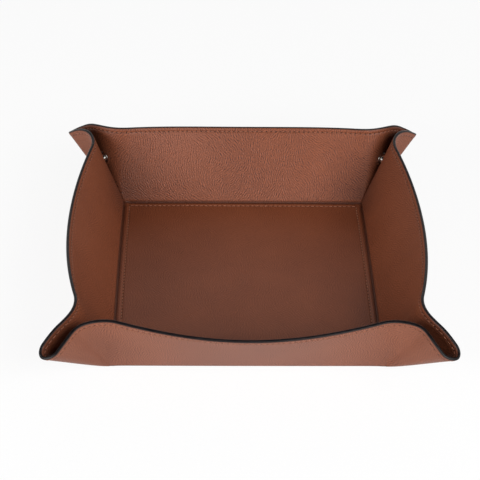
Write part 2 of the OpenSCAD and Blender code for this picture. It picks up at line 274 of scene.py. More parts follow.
def wall_point(c, t, wall, off):
    """A point of one wall's share of the sheet, in the wall's own frame.

    A negative t is on the base, mitred to its corners; the fold itself is rounded.
    Returns the point, the normal, the place on the flat sheet, and the share of its
    thickness that the sheet keeps there.
    """
    c, t, off = np.broadcast_arrays(c, t, np.asarray(off, float))
    side = np.where(c < 0, -1.0, 1.0)
    s = np.abs(c) - wall.length
    on_wall = s <= 0
    edge = edge_point(np.minimum(s, 0), wall)
    mitre = off * np.tan(np.arccos(edge[..., 1] / WALL_L) / 2)
    full = FOLD_R * (OUTER_FOLD_SHARE + (1 - OUTER_FOLD_SHARE) * np.clip(off / SHEET_T, 0, 1))
    radius = CORNER_FOLD_R + (full - CORNER_FOLD_R) * ease(-s / FOLD_RUN)
    lift = np.where(on_wall, mitre * (1 - np.clip(t, radius, WALL_L) / WALL_L), 0)
    upper, normal, thin = sheet_point(c, s, np.where(on_wall, np.maximum(t, radius), t) + lift, wall, off)
    x = wall.half + edge[..., 0]
    inside = np.maximum(-t, radius) + mitre * ease(2 + t / (2 * FOLD_R))

    def on_base(d):
        return np.stack([x * (1 - d / wall.half) - wall.half, -d, off], -1)

    # The rounding is a quadratic curve from the base through the crease to the wall
    tau = np.clip((t + radius) / (2 * radius), 0, 1)[..., None]
    rounded = (1 - tau) ** 2 * on_base(inside) + 2 * tau * (1 - tau) * on_base(mitre) + tau ** 2 * upper
    point = np.where(on_wall[..., None], rounded, upper)
    normal = np.where(on_wall[..., None], (1 - tau) * np.array([0, 0, 1.0]) + tau * normal, normal)
    normal = normal / np.linalg.norm(normal, axis=-1, keepdims=True)
    point = np.stack([side * (wall.half + point[..., 0]), wall.depth + point[..., 1], point[..., 2]], -1)
    normal = normal * np.stack([side, np.ones_like(side), np.ones_like(side)], -1)
    fan = BEND_TURN * np.maximum(s, 0) / EAR_S
    flat_x = np.where(t < 0, x * (1 + t / wall.half), x) + np.maximum(t, 0) * np.sin(fan)
    flat = np.stack([side * flat_x, wall.depth + np.where(t < 0, t, t * np.cos(fan))], -1)
    return point, normal, flat, thin


# Relief of the visible faces: the depth of channels and needle holes, puffed and rolled rims
CHANNEL_W = 0.75
RIM_CHANNEL, RIM_HOLE = 0.2, 0.2
BASE_CHANNEL, BASE_HOLE = 0.22, 0.16
PUFF, PUFF_W = 0.12, 1.1
ROLL, ROLL_W = 0.3, 0.55
# Forms along a fold, as height, width and place past the fold line, and how they end at the corners
INNER_FOLD_FORMS = ((-1.05, 1.15, 0.0), (0.24, 1.2, -3.3), (0.1, 1.5, 3.4))
OUTER_FOLD_FORMS = ((-0.15, 1.2, 0.0),)
FORMS_FROM, FORMS_RUN = 1.0, 6.0
# Slow ripples, as height, run, how far and over what run they wind, and phase
RIPPLES = ((0.10, 23, 1.3, 31, 0), (0.07, 17, 1.1, 27, 2))
RIPPLE_FADE = 8.0
RELIEF_THIN = 1.2


def wall_pitch(wall):
    """The stitch nearest to the pitch that fits a whole number of times along the wall."""
    return 2 * wall.length / round(2 * wall.length / STITCH_PITCH)


def stitch_phase(c, wall):
    """Where a point is between two needle holes, from 0 to 1."""
    on_wall = np.abs(c) <= wall.length
    on_ear = (np.abs(c) - wall.length) / EAR_PITCH
    return np.where(on_wall, (c + wall.length) / wall_pitch(wall), on_ear) % 1


def needle_holes(c, t, wall):
    """1 at a needle hole and 0 half a stitch from it, for the rim above the fold and the base below it."""
    rim = np.cos(math.pi * stitch_phase(c, wall)) ** 2
    flat_x = np.abs(np.clip(c, -wall.length, wall.length)) / wall.length * wall.half
    from_corner = wall.half - flat_x * (1 + np.minimum(t, 0) / wall.half)
    base = np.cos(math.pi * (from_corner - BASE_STITCH_IN) / STITCH_PITCH) ** 2
    return np.where(t < 0, base, rim)


def dent(distance, width):
    """A soft dent of depth 1, measured from its middle."""
    return np.exp(-(distance / width) ** 2)


def relief(c, t, wall, inside):
    """How far the visible face stands proud: puffed rims, sewn channels, needle holes, the groove."""
    s = np.abs(c) - wall.length
    from_edge = ruling_length(s, wall) - t
    holes = needle_holes(c, t, wall)
    rim = -dent(from_edge - STITCH_IN, CHANNEL_W) * (RIM_CHANNEL + RIM_HOLE * holes)
    rim = rim + PUFF * dent(from_edge - STITCH_IN / 2, PUFF_W) - ROLL * dent(from_edge, ROLL_W)
    sewn = -dent(t + BASE_STITCH_IN, CHANNEL_W) * (BASE_CHANNEL + BASE_HOLE * holes)
    forms = INNER_FOLD_FORMS if inside else OUTER_FOLD_FORMS
    fold = sum(height * dent(t - at, width) for height, width, at in forms)
    return rim + sewn + fold * ease((-s - FORMS_FROM) / FORMS_RUN)


def ripple(flat):
    """The slow unevenness of a folded hide."""
    x, y = flat[..., 0], flat[..., 1]
    return sum(height * np.sin(a / run + wind * np.sin(b / wind_run) + phase)
               for (height, run, wind, wind_run, phase), (a, b) in zip(RIPPLES, ((x, y), (y, x))))


# Grids: rows across the sheet, as distances from the edge, from the fold line and from the corner point
RIM_ROWS = [0, 0.25, 0.55, 0.9, 1.4, 2.0, 2.6, 3.1, 3.5, 3.8, 4.0, 4.2, 4.5, 4.9, 5.4, 6.2, 7.5, 9.5]
FOOT_ROWS = [FOLD_R, 3.2, 4.2, 5.6, 8.0]
APEX_ROWS = [0.3, 1.1]
MIDDLE_ROWS = 14
FOLD_ROWS = np.linspace(-FOLD_R, FOLD_R, 17)
BASE_ROWS = [-111, -104, -92, -78, -62, -46, -32, -22, -15, -11, -8.6, -7.4, -6.6, -6.2, -5.9, -5.7, -5.5,
             -5.3, -5.1, -4.8, -4.4, -4.0, -3.6, -3.2, -2.8, -FOLD_R]
# The lining's place on the flat sheet is set this far off, so that its grain isn't the skin's
LINING_LEVEL = 40.0

Grid = namedtuple("Grid", "points flat wear weight")


def stations(wall, low, high):
    """Steps along the edge between two places, a whole number of them to each stitch."""
    pitch = wall_pitch(wall) if high <= wall.length else EAR_PITCH
    step = pitch / STATIONS_PER_STITCH
    return np.linspace(low, high, max(2, round((high - low) / step) + 1))


def panel_rows(c, wall, first):
    """Row places up the rulings of a run of stations: the first ones, even ones, and the rim's."""
    lengths = ruling_length(np.abs(c) - wall.length, wall)[:, None]
    shares = np.arange(1, MIDDLE_ROWS + 1) / (MIDDLE_ROWS + 1)
    middle = first[-1] * (1 - shares) + (lengths - RIM_ROWS[-1]) * shares
    foot = np.broadcast_to(first, (len(c), len(first)))
    return np.concatenate([foot, middle, lengths - np.array(RIM_ROWS[::-1])], -1)


def layer_grid(wall, c, t, off, inside, visible, weight=None):
    """A grid of one face of a layer, in the frame: points, place on the flat sheet, and the distances from
    which the leather places its darker cut edge and its painted shade.
    """
    point, normal, flat, thin = wall_point(c, t, wall, off)
    from_edge = ruling_length(np.abs(c) - wall.length, wall) - t
    if visible:
        fade = ease(np.abs(from_edge) / RIPPLE_FADE) * ease((np.abs(t) - FOLD_R) / RIPPLE_FADE)
        lift = (relief(c, t, wall, inside) + ripple(flat) * fade) * ease(thin * RELIEF_THIN)
        point = point + normal * (lift if inside else -lift)[..., None]
    place = PLACES[wall.name]
    level = np.full(flat.shape[:-1] + (1,), LINING_LEVEL if inside else 0.0)
    flat = np.concatenate([flat, level], -1) @ place.T
    # Distances from the edge and the fold, and the needle-hole share, which the leather reads for its
    # darker cut edge and for painted shade
    wear = np.stack([from_edge, t, needle_holes(c, t, wall)], -1)
    if weight is None:
        weight = np.zeros(point.shape[:-1])
    return Grid(point @ place.T, flat, wear, np.broadcast_to(weight, point.shape[:-1]))


def turned(grid):
    """The same grid with its stations in the other order."""
    return Grid(*[field[::-1] for field in grid])


def joined(a, b):
    """Two grids that share a ring of points, as one."""
    return Grid(*[np.concatenate([fa, fb[1:]]) for fa, fb in zip(a, b)])


def shell(top, bottom):
    """Vertices, faces and fields of the closed solid between two faces of a layer."""
    n, m = top.points.shape[:2]
    verts = np.concatenate([top.points.reshape(-1, 3), bottom.points.reshape(-1, 3)])
    at = np.arange(n * m).reshape(n, m)
    under = at + n * m

    def quads(a, b, c, d):
        return np.stack([a, b, c, d], -1).reshape(-1, 4)

    faces = [quads(at[:-1, :-1], at[1:, :-1], at[1:, 1:], at[:-1, 1:]),
             quads(under[:-1, :-1], under[:-1, 1:], under[1:, 1:], under[1:, :-1])]
    for line, deep in ((at[0], under[0]), (at[-1, ::-1], under[-1, ::-1]),
                       (at[::-1, 0], under[::-1, 0]), (at[:, -1], under[:, -1])):
        faces.append(quads(line[:-1], line[1:], deep[1:], deep[:-1]))
    fields = [np.concatenate([getattr(top, f).reshape(n * m, -1), getattr(bottom, f).reshape(n * m, -1)])
              for f in ("flat", "wear", "weight")]
    return verts, np.concatenate(faces), fields


def tube(grid):
    """Vertices, quads and fields of a tube through rings of points, closed at both ends."""
    n, m = grid.points.shape[:2]
    at = np.arange(n * m).reshape(n, m)
    nxt = np.roll(at, -1, axis=1)
    faces = [np.stack([at[:-1], nxt[:-1], nxt[1:], at[1:]], -1).reshape(-1, 4)]
    for ring, flip in ((at[0], True), (at[-1], False)):
        for j in range(m // 2 - 1 + m % 2):
            quad = [ring[j], ring[j + 1], ring[-2 - j], ring[-1 - j]]
            faces.append(np.array([quad[::-1] if flip else quad]))
    fields = [getattr(grid, f).reshape(n * m, -1) for f in ("flat", "wear", "weight")]
    return grid.points.reshape(-1, 3), np.concatenate(faces), fields


# Meshes: points closer than this are one, and edges sharper than this stay sharp
MERGE = 0.002
SMOOTH_ANGLE = math.radians(50)


def signed_volume(verts, faces):
    """Six times the volume inside quads, negative where they face inward."""
    a, b, c, d = (verts[faces[:, i]] for i in range(4))
    return (np.einsum("ij,ij->i", a, np.cross(b, c)) + np.einsum("ij,ij->i", a, np.cross(c, d))).sum()


def add_mesh(name, parts, material):
    """One mesh from (vertices, quads, fields) parts, in metres, with what its material reads and each
    point's share of the turn.
    """
    verts, faces, fields, first = [], [], [[], [], []], 0
    for v, f, extra in parts:
        if signed_volume(v, f) < 0:
            f = f[:, ::-1]
        verts.append(v)
        faces.append(f + first)
        first += len(v)
        for kept, new in zip(fields, extra):
            kept.append(new)
    verts, faces = np.concatenate(verts), np.concatenate(faces)
    flat, wear, weight = (np.concatenate(field) for field in fields)
    mesh = bpy.data.meshes.new(name)
    mesh.vertices.add(len(verts))
    mesh.vertices.foreach_set("co", (verts * MM).astype(np.float32).ravel())
    mesh.loops.add(faces.size)
    mesh.loops.foreach_set("vertex_index", faces.astype(np.int32).ravel())
    mesh.polygons.add(len(faces))
    mesh.polygons.foreach_set("loop_start", np.arange(0, faces.size, 4, dtype=np.int32))
    mesh.update(calc_edges=True)
    for label, data in (("flat", flat), ("wear", wear)):
        made = mesh.attributes.new(label, "FLOAT_VECTOR", "POINT")
        made.data.foreach_set("vector", (data * MM).astype(np.float32).ravel())
    made = mesh.attributes.new("turn_share", "FLOAT", "POINT")
    made.data.foreach_set("value", weight.astype(np.float32).ravel())
    piece = bpy.data.objects.new(name, mesh)
    bpy.context.scene.collection.objects.link(piece)
    mesh.materials.append(material)
    tidy_mesh(mesh)
    return piece


def tidy_mesh(mesh):
    """Joins the points that meet, and shades smooth all but the sharp rims."""
    shape = bmesh.new()
    shape.from_mesh(mesh)
    bmesh.ops.remove_doubles(shape, verts=shape.verts, dist=MERGE * MM)
    bmesh.ops.dissolve_degenerate(shape, edges=shape.edges, dist=MERGE * MM)
    for face in shape.faces:
        face.smooth = True
    for edge in shape.edges:
        edge.smooth = len(edge.link_faces) == 2 and edge.calc_face_angle(0) < SMOOTH_ANGLE
    shape.to_mesh(mesh)
    shape.free()


# Materials

# Sizes of the leathers' grain: its ridges, what shakes, turns and breaks them, pores, dimples and drift
RIDGE_RUN = 2.0
RIDGE_SHAKE = 1.7
SHAKE_SIZE = 3.6
WAY_SIZE = 46
BREAK_SIZE = 3.4
PORE_SIZE = 1.15
PORE_SHARE = 1.7
DIMPLE_SIZE = 9
DRIFT_SIZE = 60
# How strong the grain is on the base and on the side walls, and over what distance that changes
BASE_GRAIN, BASE_GRAIN_RUN = 0.4, 4
SIDE_GRAIN, SIDE_GRAIN_RUN = 0.5, 20
# Darkening, as where it starts and ends: at the cut, and painted shade round an ear, in corners, creases
# and sewn lines
CUT_DARK = (0.35, 1.1)
EAR_DARK = (0.3, 7)
CORNER_DARK_RUN = 40
CORNER_DARK_FOOT = 4
CORNER_DARK_UP = (12, 62)
CREASE_DARK = (0.6, 2.4)
SEWN_DARK = (0.3, 0.9)
# The dark mixed into the leather: painted shade, and the darker cut edge
SHADE_AND_EDGE_DARK = (0.004, 0.003, 0.003, 1)
LEATHER_ROUGH = (0.58, 0.44)


class Nodes:
    """A material's node tree, with short calls for the nodes that these materials share."""

    def __init__(self, name):
        self.material = bpy.data.materials.new(name)
        self.material.use_nodes = True
        self.tree = self.material.node_tree
        self.shader = self.tree.nodes["Principled BSDF"]

    def add(self, kind, **values):
        """A node: a name with a leading _ is a property, any other is a socket."""
        node = self.tree.nodes.new(kind)
        for key, value in values.items():
            if key.startswith("_"):
                setattr(node, key[1:], value)
            else:
                self.put(node.inputs[key.replace("_", " ")], value)
        return node

    def put(self, socket, value):
        """Links a socket to another, or gives it a value."""
        if isinstance(value, bpy.types.NodeSocket):
            self.tree.links.new(value, socket)
        else:
            socket.default_value = value

    def set(self, **values):
        """Sets sockets of the shader."""
        for key, value in values.items():
            self.put(self.shader.inputs[key.replace("_", " ")], value)

    def math(self, operation, a, b=0.0):
        node = self.add("ShaderNodeMath", _operation=operation)
        self.put(node.inputs[0], a)
        self.put(node.inputs[1], b)
        return node.outputs[0]

    def attribute(self, name):
        return self.add("ShaderNodeAttribute", _attribute_name=name).outputs["Vector"]

    def noise(self, where, size, detail=3.0, rough=0.5):
        """Noise whose blotches are about size millimetres across."""
        node = self.add("ShaderNodeTexNoise", Vector=where, Scale=1 / (size * MM), Detail=detail,
                        Roughness=rough)
        return node.outputs["Fac"]

    def span(self, value, low, high, to_low=0.0, to_high=1.0):
        """to_low where value is low or less, to_high where it is high or more."""
        node = self.add("ShaderNodeMapRange", Value=value)
        for key, number in (("From Min", low), ("From Max", high), ("To Min", to_low), ("To Max", to_high)):
            node.inputs[key].default_value = number
        return node.outputs["Result"]

    def near(self, distance, at, reach, most=1.0):
        """most near a distance in millimetres, and 0 from the end of the reach on."""
        gap = self.math("ABSOLUTE", self.math("SUBTRACT", distance, at * MM))
        return self.span(gap, reach[0] * MM, reach[1] * MM, most, 0.0)

    def mix(self, share, a, b):
        node = self.add("ShaderNodeMix", _data_type="RGBA")
        self.put(node.inputs["Factor"], share)
        self.put(node.inputs[6], a)
        self.put(node.inputs[7], b)
        return node.outputs[2]

    def bump(self, height, distance, strength=1.0, below=None):
        node = self.add("ShaderNodeBump", Height=height, Distance=distance * MM, Strength=strength)
        if below is not None:
            self.put(node.inputs["Normal"], below)
        return node.outputs["Normal"]


def colour(red, green, blue):
    """A display colour, 0 to 255, as the linear colour that a shader takes."""
    def linear(v):
        v = v / 255
        return v / 12.92 if v <= 0.04045 else ((v + 0.055) / 1.055) ** 2.4
    return (linear(red), linear(green), linear(blue), 1)


def grain(n, ridge_mm, flat, past_fold, past_side):
    """Height of the pressed grain: fine ridges that turn and break like those of a palm, and pores."""
    shaken = n.add("ShaderNodeVectorMath", _operation="MULTIPLY_ADD")
    shake = n.add("ShaderNodeTexNoise", Vector=flat, Scale=1 / (SHAKE_SIZE * MM), Detail=2.0)
    n.put(shaken.inputs[0], shake.outputs["Color"])
    n.put(shaken.inputs[1], (RIDGE_SHAKE * MM,) * 3)
    n.put(shaken.inputs[2], flat)
    way = n.span(n.noise(flat, WAY_SIZE, 1.0, 0.4), 0.32, 0.68, -1.0, 1.1)
    ridges = n.add("ShaderNodeTexGabor", _gabor_type="2D", Vector=shaken.outputs[0],
                   Scale=1 / (RIDGE_RUN * ridge_mm * MM), Frequency=RIDGE_RUN, Anisotropy=0.8)
    n.put(ridges.inputs["Orientation 2D"], way)
    ridge = n.span(ridges.outputs["Value"], 0.25, 0.75, -0.5, 0.5)
    pores = n.math("SUBTRACT", n.noise(flat, PORE_SIZE, 2.0, 0.6), 0.5)
    broken = n.span(n.noise(flat, BREAK_SIZE, 3.0, 0.6), 0.36, 0.6, 0.5, 1.0)
    off_base = n.span(past_fold, -BASE_GRAIN_RUN * MM, BASE_GRAIN_RUN * MM, BASE_GRAIN, 1.0)
    off_side = n.span(past_side, 0.0, SIDE_GRAIN_RUN * MM, 1.0, SIDE_GRAIN)
    strong = n.math("MULTIPLY", n.math("MULTIPLY", broken, off_base), off_side)
    return n.math("MULTIPLY", n.math("ADD", ridge, n.math("MULTIPLY", pores, PORE_SHARE)), strong)


def leather(name, deep, plain, worn, ridge_mm, ridge_bump, pinched, corner_shade):
    """Pressed calf with slow drift, darker at its cut edge, with painted shade round its ears, in its
    corners, along its fold crease and at the needle holes of its sewn lines.
    """
    n = Nodes(name)
    flat = n.attribute("flat")
    # Distances from the cut edge and the fold, and the needle-hole share, which place the darker cut edge
    # and the painted shade
    wear = n.add("ShaderNodeSeparateXYZ", Vector=n.attribute("wear")).outputs
    from_edge, past_fold, holes = wear["X"], wear["Y"], wear["Z"]
    place = n.add("ShaderNodeSeparateXYZ", Vector=flat).outputs
    past_side = n.math("SUBTRACT", n.math("ABSOLUTE", place["X"]), BASE_W / 2 * MM)
    past_end = n.math("SUBTRACT", n.math("ABSOLUTE", place["Y"]), BASE_D / 2 * MM)
    height = grain(n, ridge_mm, flat, past_fold, past_side)
    normal = n.bump(n.noise(flat, DIMPLE_SIZE, 3.0, 0.6), 0.12, 0.4, n.bump(height, ridge_bump))
    tone = n.mix(n.span(height, -0.42, 0.34), deep, plain)
    tone = n.mix(n.span(n.noise(flat, DRIFT_SIZE, 4.0, 0.6), 0.38, 0.68, 0.0, 0.25), tone, worn)
    # The colour for the darker cut edge and for painted shade
    shade_and_edge_dark = n.mix(0.6, deep, SHADE_AND_EDGE_DARK)
    at_cut = n.span(from_edge, CUT_DARK[0] * MM, CUT_DARK[1] * MM, 0.9, 0.0)
    # Painted shade round the ear, growing where the ruling is longer than the wall's; pinched sets its
    # strength
    ear_shade = n.span(n.math("ADD", from_edge, past_fold), (WALL_L + EAR_DARK[0]) * MM,
                       (WALL_L + EAR_DARK[1]) * MM, 0.0, pinched)
    # Painted shade in the corners: it grows towards each corner, starts just above the fold and fades up
    # the wall
    into_corner = n.span(n.math("MINIMUM", past_side, past_end), -CORNER_DARK_RUN * MM, 0.0, 0.0, corner_shade)
    up_wall = n.span(past_fold, CORNER_DARK_UP[0] * MM, CORNER_DARK_UP[1] * MM, 1.0, 0.15)
    low_down = n.math("MULTIPLY", up_wall, n.span(past_fold, 0.0, CORNER_DARK_FOOT * MM))
    # Painted shade along the fold's groove
    crease = n.near(past_fold, 0.0, CREASE_DARK, 0.7)
    # Painted shade at the needle holes of the rim's and the base's sewn lines
    lines = n.math("MAXIMUM", n.near(from_edge, STITCH_IN, SEWN_DARK),
                   n.near(past_fold, -BASE_STITCH_IN, SEWN_DARK))
    sewn = n.math("MULTIPLY", lines, n.span(holes, 0.35 * MM, 0.8 * MM, 0.1, 0.75))
    # Mixes in the darker cut edge, then painted shade round the ears, in the lower corners, along the
    # crease and at the needle holes
    for share in (at_cut, ear_shade, n.math("MULTIPLY", into_corner, low_down),
                  n.math("MAXIMUM", crease, sewn)):
        tone = n.mix(share, tone, shade_and_edge_dark)
    n.set(Base_Color=tone, Normal=normal, Roughness=n.span(height, -0.5, 0.5, *LEATHER_ROUGH))
    n.set(**{"Specular IOR Level": 0.28})
    return n.material


def edge_paint():
    """Black edge paint, brushed on in coats: soft gloss, slight waves, small dust nibs."""
    n = Nodes("edge_paint")
    flat = n.attribute("flat")
    waves = n.noise(flat, 3.0, 3.0, 0.55)
    nibs = n.noise(flat, 0.7, 2.0, 0.6)
    tone = n.mix(n.span(waves, 0.35, 0.7), colour(12, 9, 10), colour(25, 19, 20))
    normal = n.bump(nibs, 0.05, 0.5, n.bump(waves, 0.22, 0.7))
    n.set(Base_Color=tone, Normal=normal, Roughness=n.span(waves, 0.3, 0.7, 0.32, 0.45))
    n.set(**{"Specular IOR Level": 0.18})
    return n.material


# Length of a ply along its thread, and the scale that makes half a wave of the texture 1 long
PLY_PITCH = 0.7
WAVE_UNIT = 0.314159


def thread(name, shaded, lit, fluff):
    """Waxed polyester thread: two plies that twist, a little fuzz of lighter colour."""
    n = Nodes(name)
    along = n.attribute("flat")
    plies = n.add("ShaderNodeTexWave", _wave_type="BANDS", _bands_direction="DIAGONAL", Vector=along,
                  Scale=WAVE_UNIT / (PLY_PITCH * MM), Distortion=0.6, Detail=1.0).outputs["Fac"]
    fuzz = n.noise(along, 0.6, 2.0, 0.6)
    tone = n.mix(n.span(plies, 0.0, 1.0), shaded, lit)
    tone = n.mix(n.span(fuzz, 0.4, 0.7, 0.0, 0.3), tone, fluff)
    n.set(Base_Color=tone, Normal=n.bump(plies, 0.12, 0.8), Roughness=n.span(fuzz, 0.2, 0.8, 0.5, 0.66))
    return n.material


def nickel():
    """Nickel-plated brass: bright, with fine turning lines and dulled hollows."""
    n = Nodes("nickel_plate")
    spot = n.add("ShaderNodeTexCoord").outputs["Object"]
    lines = n.noise(spot, 0.25, 3.0, 0.6)
    dull = n.noise(spot, 3.0, 3.0, 0.6)
    tone = n.mix(n.span(dull, 0.35, 0.7), colour(238, 237, 233), colour(212, 210, 204))
    n.set(Base_Color=tone, Normal=n.bump(lines, 0.01, 0.3), Roughness=n.span(dull, 0.3, 0.7, 0.08, 0.17))
    n.set(Metallic=1.0)
    return n.material


def pressed_board():
    """Grey-brown stiffener board with pressed fibres."""
    n = Nodes("pressed_board")
    spot = n.add("ShaderNodeTexCoord").outputs["Object"]
    fibre = n.noise(n.add("ShaderNodeMapping", Vector=spot, Scale=(1, 0.2, 1)).outputs[0], 1.2, 4.0, 0.65)
    tone = n.mix(n.span(fibre, 0.3, 0.7), colour(150, 128, 100), colour(196, 175, 146))
    n.set(Base_Color=tone, Normal=n.bump(fibre, 0.08, 0.6), Roughness=n.span(fibre, 0.3, 0.7, 0.8, 0.92))
    return n.material


# The pinched setting and the one after it give the strength of the painted shade round the ears and in the
# corners
OUTER = leather("outer_leather", ridge_mm=1.9, ridge_bump=0.08, pinched=0.12, corner_shade=0.1,
                deep=colour(90, 48, 32), plain=colour(141, 81, 55), worn=colour(145, 85, 58))
LINING = leather("lining_leather", ridge_mm=1.95, ridge_bump=0.16, pinched=0.45, corner_shade=0.5,
                 deep=colour(74, 37, 24), plain=colour(138, 75, 47), worn=colour(141, 79, 51))
PAINT = edge_paint()
THREAD = thread("rim_thread", shaded=colour(108, 58, 39), lit=colour(158, 99, 72),
                fluff=colour(176, 119, 90))
BASE_THREAD = thread("base_thread", shaded=colour(124, 70, 48), lit=colour(180, 121, 92),
                     fluff=colour(196, 140, 110))
NICKEL = nickel()
BOARD = pressed_board()


# Layers: which faces bound them, seen from outside in

# Play between the leathers, over the boards and round them as a share of the wall's length,
# and where the hollow for a board starts on the base and past a wall's knee
GLUE_CLEAR = 0.05
BOARD_CLEAR = 0.1
BOARD_SPARE = 0.02
HOLLOW_IN = 7.5
HOLLOW_PAST_KNEE = 1.0
# The tongue that covers the seam at the end of a side wall: how far the seam opens, the tongue's
# thickness and play, where it is rooted, its lap, the share of the ruling where it starts, its rows,
# and how far its pocket in the ear starts before the seam and reaches past it
SEAM_OPEN = 2.5
TONGUE_T = 0.7
TONGUE_CLEAR = 0.08
TONGUE_ROOT = 0.4
TONGUE_LAP = 0.7
TONGUE_FROM = 0.1
TONGUE_ROWS, TONGUE_STEPS = 14, 5
POCKET_BEFORE, POCKET_PAST = 0.01, 1.0


def hidden_off(c, t, wall):
    """Depth of the lining's glued face, which is hollowed for the stiffener boards."""
    s = np.abs(c) - wall.length
    share = t / WALL_L
    on_wall = ((s < -BEND_R * wall.turn - SHEET_T - HOLLOW_PAST_KNEE)
               & (share > BOARD_FROM - BOARD_SPARE) & (share < BOARD_TO + BOARD_SPARE))
    return np.where(on_wall | (t < -HOLLOW_IN), SKIN_T + BOARD_T + BOARD_CLEAR, SKIN_T)


def pocket(c, wall):
    """Room between the leathers at the start of a side wall's ear, for the tongue of that wall."""
    s = np.abs(c) - wall.length
    inside = (s > -POCKET_BEFORE) & (s < SEAM_OPEN + POCKET_PAST) & (wall.name in SIDE_WALLS)
    return np.where(inside, TONGUE_T, 0)


def layer_faces(wall, c, t, layer, weight=None):
    """The outer and the inner face of a leather."""
    c, t = np.broadcast_arrays(c, t)
    spare = pocket(c, wall)
    if layer == "outer":
        return (layer_grid(wall, c, t, 0.0, False, True, weight),
                layer_grid(wall, c, t, SKIN_T - GLUE_CLEAR - spare / 2, False, False, weight))
    return (layer_grid(wall, c, t, hidden_off(c, t, wall) + spare / 2, True, False, weight),
            layer_grid(wall, c, t, SHEET_T, True, True, weight))


def seam_tongue(wall, end):
    """The end of a side wall, which reaches in between its ear's leathers and keeps the seam covered."""
    share = np.linspace(TONGUE_FROM, 1, TONGUE_ROWS)[None, :]
    reach = np.linspace(0, 1, TONGUE_STEPS)[:, None]
    c = end * (wall.length - TONGUE_ROOT + reach * (TONGUE_LAP + SEAM_OPEN * share))
    t = share * (ruling_length(np.abs(c) - wall.length, wall) + PAINT_LIP)
    low = SKIN_T - TONGUE_T / 2
    return shell(layer_grid(wall, c, t, low, True, False),
                 layer_grid(wall, c, t, low + TONGUE_T - TONGUE_CLEAR, True, False))


# Section of the bead: its points, how full it is, how far it is set back, and its tucked ends
BEAD_POINTS = 13
BEAD_ROUND = 0.75
BEAD_SINK = 0.02
BEAD_TUCK = 0.06


def edge_profile():
    """The painted bead: distance past the cut and depth from the outer face, round its section."""
    angle = np.linspace(0, math.pi, BEAD_POINTS)
    past = EDGE_H * np.sin(angle) ** BEAD_ROUND
    off = SHEET_T / 2 - (SHEET_T / 2 - PAINT_SHY) * np.cos(angle)
    past = np.concatenate([[-PAINT_LIP], past - BEAD_SINK, [-PAINT_LIP]])
    off = np.concatenate([[PAINT_SHY + BEAD_TUCK], off, [SHEET_T - PAINT_SHY - BEAD_TUCK]])
    return past, off


def edge_part(wall, c, weight=0.0):
    """The bead along one run of stations, as rings of a tube."""
    past, off = edge_profile()
    t = ruling_length(np.abs(c) - wall.length, wall)[:, None] + past
    grid_c, t, past, off, weight = np.broadcast_arrays(c[:, None], t, past, off, weight)
    point, _, flat, _ = wall_point(grid_c, t, wall, off)
    place = PLACES[wall.name]
    flat = np.concatenate([flat, off[..., None]], -1) @ place.T
    return Grid(point @ place.T, flat, np.stack([past, t, off], -1), weight)


# A stitch: its gauge and mesh, the share of the pitch left at each hole, its slant, how deep it
# starts and how high it rises, how thick it is at the holes and how much more between, and its flatness
THREAD_D = 0.55
THREAD_RINGS, THREAD_SIDES = 8, 6
HOLE_SHARE = 0.13
THREAD_SLANT = 0.16
THREAD_DIVE, THREAD_RISE, RISE_POWER = 0.42, 0.44, 0.55
THREAD_END, THREAD_SWELL, SWELL_POWER = 0.55, 0.45, 0.5
THREAD_FLAT = 0.85
# Samples of a wall's edge for finding a ruling by its foot
EDGE_SAMPLES = 801


def stitch(wall, start, end, t, off, number, weight):
    """One stitch: a short thread that rises out of one needle hole and dives into the next."""
    share = np.linspace(0, 1, THREAD_RINGS)
    arch = np.sin(math.pi * share)
    along = start + (end - start) * (HOLE_SHARE + (1 - 2 * HOLE_SHARE) * share)
    # Where the edge is run backwards this gives the whole stitch one of the two levels
    level = np.interp(along, (start, end), t)
    point, normal, _, _ = wall_point(along, level + THREAD_SLANT * (share - 0.5), wall, off)
    tangent = np.gradient(point, axis=0)
    tangent = tangent / np.linalg.norm(tangent, axis=1, keepdims=True)
    normal = normal if off > 0 else -normal
    binormal = np.cross(tangent, normal)
    rise = THREAD_RISE * arch ** RISE_POWER - THREAD_DIVE
    thick = THREAD_D / 2 * (THREAD_END + THREAD_SWELL * arch ** SWELL_POWER)
    angle = 2 * math.pi * np.arange(THREAD_SIDES) / THREAD_SIDES
    ring = (np.cos(angle)[None, :, None] * binormal[:, None, :]
            + THREAD_FLAT * np.sin(angle)[None, :, None] * normal[:, None, :])
    points = (point + normal * rise[:, None])[:, None, :] + thick[:, None, None] * ring
    turns = np.stack(np.broadcast_arrays(along[:, None], thick[:, None] * angle, float(number)), -1)
    size = (THREAD_RINGS, THREAD_SIDES)
    weights = np.zeros(size) if weight is None else np.broadcast_to(weight(along)[:, None], size)
    return tube(Grid(points @ PLACES[wall.name].T, turns, np.zeros(size + (3,)), weights))


def rim_stitches(wall, low, high, count, weight=None):
    """The stitches of one run of the rim, on both faces of the sheet."""
    holes = np.linspace(low, high, count + 1)
    made = []
    for i in range(count):
        pair = holes[i:i + 2]
        t = ruling_length(np.abs(pair) - wall.length, wall) - STITCH_IN
        for off in (0.0, SHEET_T):
            made.append(stitch(wall, pair[0], pair[1], t, off, i, weight))
    return made


def base_stitches(wall):
    """The stitches along one side of the base, above and below it."""
    reach = wall.half - BASE_STITCH_IN
    count = round(2 * reach / STITCH_PITCH)
    holes = along_wall(np.linspace(-reach, reach, count + 1) * (wall.half / reach), wall)
    made = []
    for i in range(count):
        for off in (0.0, SHEET_T):
            made.append(stitch(wall, holes[i], holes[i + 1], [-BASE_STITCH_IN] * 2, off, i, None))
    return made


def along_wall(x, wall):
    """Distance along the edge whose ruling starts at x on the fold line."""
    c = np.linspace(-wall.length, wall.length, EDGE_SAMPLES)
    at = np.sign(c) * (wall.half + edge_plan(np.abs(c) - wall.length, wall)[:, 0])
    return np.interp(x, at, c)


# Pieces: the base, then each wall's fold and panel, then each corner's two ear halves

